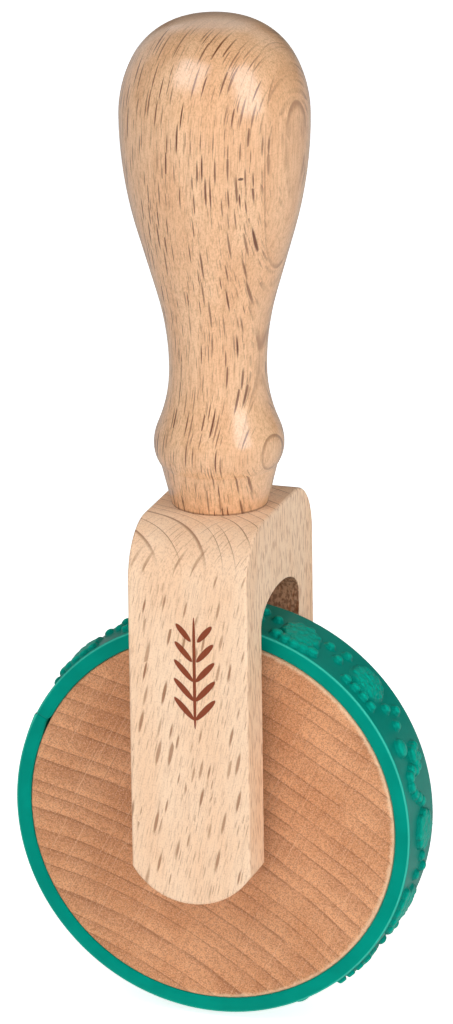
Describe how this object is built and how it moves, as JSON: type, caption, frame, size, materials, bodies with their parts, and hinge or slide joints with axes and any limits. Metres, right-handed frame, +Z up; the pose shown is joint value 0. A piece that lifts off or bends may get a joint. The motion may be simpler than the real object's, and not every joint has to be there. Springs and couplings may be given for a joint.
{
  "type": "rubber pattern brayer",
  "caption": "Hand roller with a turned wooden handle, a slotted wooden fork and a free-spinning wooden wheel that carries a raised-pattern rubber tyre.",
  "frame": {"origin": "on the table under the wheel's middle, where the tyre's raised pattern touches it with the handle upright", "axes": "+Z up along the handle, Y along the axle, with the leg that shows no axle hole on the -Y side, and X across the fork"},
  "size_m": [0.0774, 0.0396, 0.1872],
  "materials": {
    "turned_wood": "satin lacquer",
    "dowel_wood": "matt, sanded",
    "fork_wood": "matt, sanded",
    "pin_steel": "ground",
    "wheel_wood": "matt, sanded end grain",
    "tyre_rubber": "semi-gloss moulded"
  },
  "bodies": {
    "fork_and_handle": {"fork": "fork_wood", "handle": "turned_wood", "handle_dowel": "dowel_wood", "axle_pin": "pin_steel", "axle_plug": "dowel_wood"},
    "wheel": {"wheel_core": "wheel_wood", "stamp_tyre": "tyre_rubber"}
  },
  "joints": [
    {"name": "wheel_spin", "type": "hinge", "parent": "fork_and_handle", "child": "wheel", "pos_m": [0, 0, 0.0387], "axis": [0, 1, 0], "continuous": true}
  ]
}
